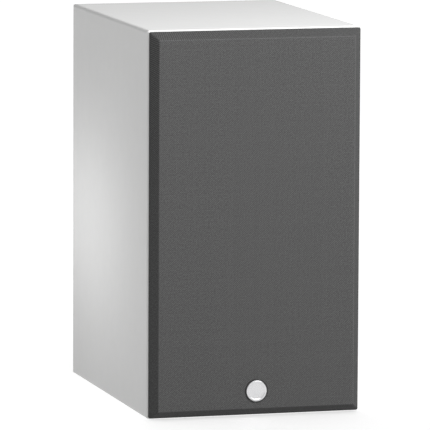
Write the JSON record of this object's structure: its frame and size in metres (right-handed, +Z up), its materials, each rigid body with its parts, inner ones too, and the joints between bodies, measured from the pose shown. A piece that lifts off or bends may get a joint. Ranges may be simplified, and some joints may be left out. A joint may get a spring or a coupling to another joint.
{
  "type": "bookshelf speaker",
  "caption": "Compact two-way bass-reflex loudspeaker: white box cabinet, pull-off bevelled cloth grille, woofer, dome tweeter, rear port and binding posts.",
  "frame": {"origin": "centre of the base of the whole object's box, on the surface that it stands on", "axes": "+Z up, -Y out of the grille at the front, +Y out of the terminals at the back, +X to the right of someone at the back of the room facing +Y"},
  "size_m": [0.17, 0.2408, 0.3],
  "materials": {
    "white_lacquer": "satin white lacquer on fibreboard",
    "raw_board": "raw fibreboard",
    "black_board": "black stained fibreboard",
    "damping_foam": "open-cell foam",
    "grille_cloth": "dark grey plain-weave acoustic cloth",
    "black_plastic": "fine matt texture",
    "black_gloss": "moulded, gloss",
    "satin_aluminium": "satin, turned",
    "basket_aluminium": "cast, black powder coat",
    "foam_gasket": "closed-cell foam",
    "black_screw": "black oxide steel",
    "rubber": "matt butyl rubber",
    "cone_paper": "pressed pulp, black",
    "cap_fabric": "coated cloth",
    "former_film": "amber film",
    "copper": "enamelled copper wire",
    "spider_cloth": "resin-dipped cotton",
    "plated_steel": "zinc plated",
    "ferrite": "ground ferrite",
    "terminal_strip": "phenolic board with plated tags",
    "silk_dome": "coated silk",
    "gold_plate": "gold-plated brass",
    "red_plastic": "moulded, red",
    "board_laminate": "glass-fibre laminate",
    "capacitor_film": "yellow film with resin ends",
    "resistor_body": "cement",
    "red_insulation": "soft insulation",
    "black_insulation": "soft insulation"
  },
  "bodies": {
    "cabinet": {"left_panel": "white_lacquer", "right_panel": "white_lacquer", "top_panel": "white_lacquer", "bottom_panel": "white_lacquer", "front_baffle": "white_lacquer", "back_panel": "white_lacquer", "window_brace": "raw_board", "damping_foam": "damping_foam", "grille_sockets": "rubber", "woofer_basket": "basket_aluminium", "woofer_gasket": "foam_gasket", "woofer_screws": "black_screw", "woofer_surround": "rubber", "woofer_spider": "spider_cloth", "woofer_top_plate": "plated_steel", "woofer_magnet": "ferrite", "woofer_yoke": "plated_steel", "woofer_terminals": "terminal_strip", "woofer_tinsel_leads": "copper", "tweeter_faceplate": "black_plastic", "tweeter_gasket": "foam_gasket", "tweeter_screws": "black_screw", "tweeter_surround": "silk_dome", "tweeter_mounting_ring": "black_plastic", "tweeter_top_plate": "plated_steel", "tweeter_magnet": "ferrite", "tweeter_yoke": "plated_steel", "tweeter_rear_chamber": "black_plastic", "port_tube": "black_plastic", "terminal_cup": "black_plastic", "terminal_screws": "black_screw", "post_collar_red": "red_plastic", "post_collar_black": "black_gloss", "post_stud_red": "gold_plate", "post_stud_black": "gold_plate", "post_nuts": "gold_plate", "solder_lugs": "gold_plate", "crossover_board": "board_laminate", "board_screws": "plated_steel", "woofer_inductor": "copper", "tweeter_inductor": "copper", "crossover_capacitors": "capacitor_film", "crossover_resistors": "resistor_body", "wiring_red": "red_insulation", "wiring_black": "black_insulation"},
    "grille": {"grille_frame": "black_board", "grille_cloth": "grille_cloth", "grille_pegs": "black_plastic", "badge_bezel": "black_gloss", "badge_face": "satin_aluminium"},
    "woofer_moving": {"woofer_cone": "cone_paper", "woofer_dust_cap": "cap_fabric", "woofer_coil_former": "former_film", "woofer_voice_coil": "copper"},
    "tweeter_moving": {"tweeter_dome": "silk_dome", "tweeter_voice_coil": "copper"},
    "red_clamp": {"post_clamp_red": "gold_plate"},
    "black_clamp": {"post_clamp_black": "gold_plate"},
    "red_knob": {"post_knob_red": "red_plastic"},
    "black_knob": {"post_knob_black": "black_gloss"}
  },
  "joints": [
    {"name": "grille_pull", "type": "slide", "parent": "cabinet", "child": "grille", "axis": [0, -1, 0], "range_m": [0, 0.08]},
    {"name": "woofer_travel", "type": "slide", "parent": "cabinet", "child": "woofer_moving", "axis": [0, -1, 0], "range_m": [-0.004, 0.004], "stiffness_N_per_m": 1000, "deforming": ["woofer_surround", "woofer_spider", "woofer_tinsel_leads"]},
    {"name": "tweeter_travel", "type": "slide", "parent": "cabinet", "child": "tweeter_moving", "axis": [0, -1, 0], "range_m": [-0.0005, 0.0005], "stiffness_N_per_m": 500, "deforming": ["tweeter_surround"]},
    {"name": "red_post_lift", "type": "slide", "parent": "cabinet", "child": "red_clamp", "axis": [0, 1, 0], "range_m": [0, 0.004]},
    {"name": "red_post_turn", "type": "hinge", "parent": "red_clamp", "child": "red_knob", "pos_m": [0.00953, 0.11, 0.06], "axis": [0, 1, 0], "range_deg": [0, 1440]},
    {"name": "black_post_lift", "type": "slide", "parent": "cabinet", "child": "black_clamp", "axis": [0, 1, 0], "range_m": [0, 0.004]},
    {"name": "black_post_turn", "type": "hinge", "parent": "black_clamp", "child": "black_knob", "pos_m": [-0.00953, 0.11, 0.06], "axis": [0, 1, 0], "range_deg": [0, 1440]}
  ],
  "couplings": [
    {"joint": "red_post_turn", "follows": "red_post_lift", "rad_per_m": 6283.1},
    {"joint": "black_post_turn", "follows": "black_post_lift", "rad_per_m": 6283.1}
  ]
}
